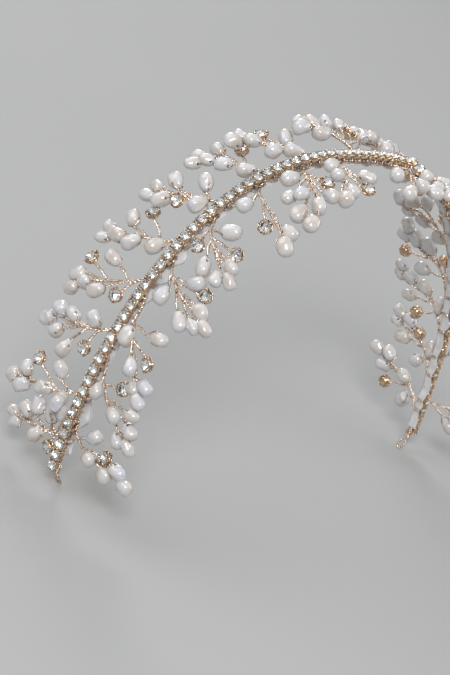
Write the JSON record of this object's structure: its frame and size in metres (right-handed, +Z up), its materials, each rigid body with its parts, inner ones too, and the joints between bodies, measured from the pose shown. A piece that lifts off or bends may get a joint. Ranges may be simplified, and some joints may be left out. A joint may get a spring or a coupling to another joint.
{
  "type": "bridal tiara",
  "caption": "Arched bridal hair vine: a rhinestone cup chain on a wire arch, with wired sprigs of baroque pearls and crystals fanning out to both sides.",
  "frame": {"origin": "middle of the space that the head fills, level with the two ends of the arch", "axes": "+X from the end that the sprigs lean towards to the other end, +Y from the front sprigs towards the back sprigs, +Z up through the crown of the arch"},
  "size_m": [0.1531, 0.0517, 0.1021],
  "materials": {
    "wire": "rose-gold coloured copper wire, bright, drawn",
    "gilt_chain": "gilt brass cup chain, bright",
    "pearl": "nacre of a baroque freshwater pearl, silky lustre",
    "pearl_spray": "baroque pearls and claw-set rhinestones on twisted wire; most of its volume is nacre",
    "crystal": "clear faceted rhinestone with a foiled back",
    "ribbon": "sheer white organza ribbon"
  },
  "bodies": {
    "vine": {"back_sprig_01": "pearl_spray", "back_sprig_02": "pearl_spray", "back_sprig_03": "pearl_spray", "back_sprig_04": "pearl_spray", "back_sprig_05": "pearl_spray", "back_sprig_06": "pearl_spray", "back_sprig_07": "pearl_spray", "back_sprig_08": "pearl_spray", "back_sprig_09": "pearl_spray", "back_sprig_10": "pearl_spray", "back_sprig_11": "pearl_spray", "back_sprig_12": "pearl_spray", "back_sprig_13": "pearl_spray", "back_sprig_14": "pearl_spray", "back_sprig_15": "pearl_spray", "back_sprig_16": "pearl_spray", "back_sprig_17": "pearl_spray", "backing_ribbon": "ribbon", "core_wire": "wire", "cup_chain": "gilt_chain", "front_sprig_01": "pearl_spray", "front_sprig_02": "pearl_spray", "front_sprig_03": "pearl_spray", "front_sprig_04": "pearl_spray", "front_sprig_05": "pearl_spray", "front_sprig_06": "pearl_spray", "front_sprig_07": "pearl_spray", "front_sprig_08": "pearl_spray", "front_sprig_09": "pearl_spray", "front_sprig_10": "pearl_spray", "front_sprig_11": "pearl_spray", "front_sprig_12": "pearl_spray", "front_sprig_13": "pearl_spray", "front_sprig_14": "pearl_spray", "front_sprig_15": "pearl_spray", "front_sprig_16": "pearl_spray"},
    "front_sprig_01_drop_pearl_1": {"front_sprig_01_drop_pearl_1": "pearl"},
    "front_sprig_01_drop_pearl_2": {"front_sprig_01_drop_pearl_2": "pearl"},
    "front_sprig_02_drop_pearl_1": {"front_sprig_02_drop_pearl_1": "pearl"},
    "front_sprig_02_drop_pearl_2": {"front_sprig_02_drop_pearl_2": "pearl"},
    "front_sprig_03_drop_pearl_1": {"front_sprig_03_drop_pearl_1": "pearl"},
    "front_sprig_03_drop_pearl_2": {"front_sprig_03_drop_pearl_2": "pearl"},
    "front_sprig_12_drop_pearl_1": {"front_sprig_12_drop_pearl_1": "pearl"},
    "front_sprig_12_drop_pearl_2": {"front_sprig_12_drop_pearl_2": "pearl"},
    "front_sprig_13_drop_pearl_1": {"front_sprig_13_drop_pearl_1": "pearl"},
    "front_sprig_13_drop_pearl_2": {"front_sprig_13_drop_pearl_2": "pearl"},
    "front_sprig_16_drop_pearl_1": {"front_sprig_16_drop_pearl_1": "pearl"},
    "front_sprig_16_drop_pearl_2": {"front_sprig_16_drop_pearl_2": "pearl"}
  },
  "joints": [
    {"name": "front_sprig_01_drop_pearl_1_rock", "type": "hinge", "parent": "vine", "child": "front_sprig_01_drop_pearl_1", "pos_m": [-0.07262, -0.00982, 0.02195], "axis": [-0.0786, -0.558, -0.8261], "range_deg": [-20, 20]},
    {"name": "front_sprig_01_drop_pearl_2_rock", "type": "hinge", "parent": "vine", "child": "front_sprig_01_drop_pearl_2", "pos_m": [-0.07412, -0.01135, 0.01786], "axis": [-0.0671, -0.0176, -0.9976], "range_deg": [-20, 20]},
    {"name": "front_sprig_02_drop_pearl_1_rock", "type": "hinge", "parent": "vine", "child": "front_sprig_02_drop_pearl_1", "pos_m": [-0.07208, -0.00563, 0.03418], "axis": [-0.1363, 0.5728, -0.8083], "range_deg": [-20, 20]},
    {"name": "front_sprig_02_drop_pearl_2_rock", "type": "hinge", "parent": "vine", "child": "front_sprig_02_drop_pearl_2", "pos_m": [-0.07281, -0.01312, 0.03159], "axis": [-0.1451, 0.2317, -0.9619], "range_deg": [-20, 20]},
    {"name": "front_sprig_03_drop_pearl_1_rock", "type": "hinge", "parent": "vine", "child": "front_sprig_03_drop_pearl_1", "pos_m": [-0.0657, -0.01202, 0.05167], "axis": [-0.3187, -0.2176, -0.9225], "range_deg": [-20, 20]},
    {"name": "front_sprig_03_drop_pearl_2_rock", "type": "hinge", "parent": "vine", "child": "front_sprig_03_drop_pearl_2", "pos_m": [-0.07036, -0.01127, 0.04474], "axis": [-0.1834, 0.666, -0.7231], "range_deg": [-20, 20]},
    {"name": "front_sprig_12_drop_pearl_1_rock", "type": "hinge", "parent": "vine", "child": "front_sprig_12_drop_pearl_1", "pos_m": [0.05039, -0.00563, 0.08158], "axis": [-0.5731, 0.5695, 0.5893], "range_deg": [-20, 20]},
    {"name": "front_sprig_12_drop_pearl_2_rock", "type": "hinge", "parent": "vine", "child": "front_sprig_12_drop_pearl_2", "pos_m": [0.0487, -0.01313, 0.08372], "axis": [-0.7053, 0.2312, 0.6701], "range_deg": [-20, 20]},
    {"name": "front_sprig_13_drop_pearl_1_rock", "type": "hinge", "parent": "vine", "child": "front_sprig_13_drop_pearl_1", "pos_m": [0.05971, -0.01202, 0.06541], "axis": [-0.4635, -0.2175, 0.859], "range_deg": [-20, 20]},
    {"name": "front_sprig_13_drop_pearl_2_rock", "type": "hinge", "parent": "vine", "child": "front_sprig_13_drop_pearl_2", "pos_m": [0.05761, -0.01128, 0.07354], "axis": [-0.4311, 0.6659, 0.6089], "range_deg": [-20, 20]},
    {"name": "front_sprig_16_drop_pearl_1_rock", "type": "hinge", "parent": "vine", "child": "front_sprig_16_drop_pearl_1", "pos_m": [0.07304, -0.00982, 0.01631], "axis": [-0.0461, -0.5581, 0.8285], "range_deg": [-20, 20]},
    {"name": "front_sprig_16_drop_pearl_2_rock", "type": "hinge", "parent": "vine", "child": "front_sprig_16_drop_pearl_2", "pos_m": [0.07392, -0.01135, 0.02058], "axis": [-0.0817, -0.0176, 0.9965], "range_deg": [-20, 20]}
  ]
}
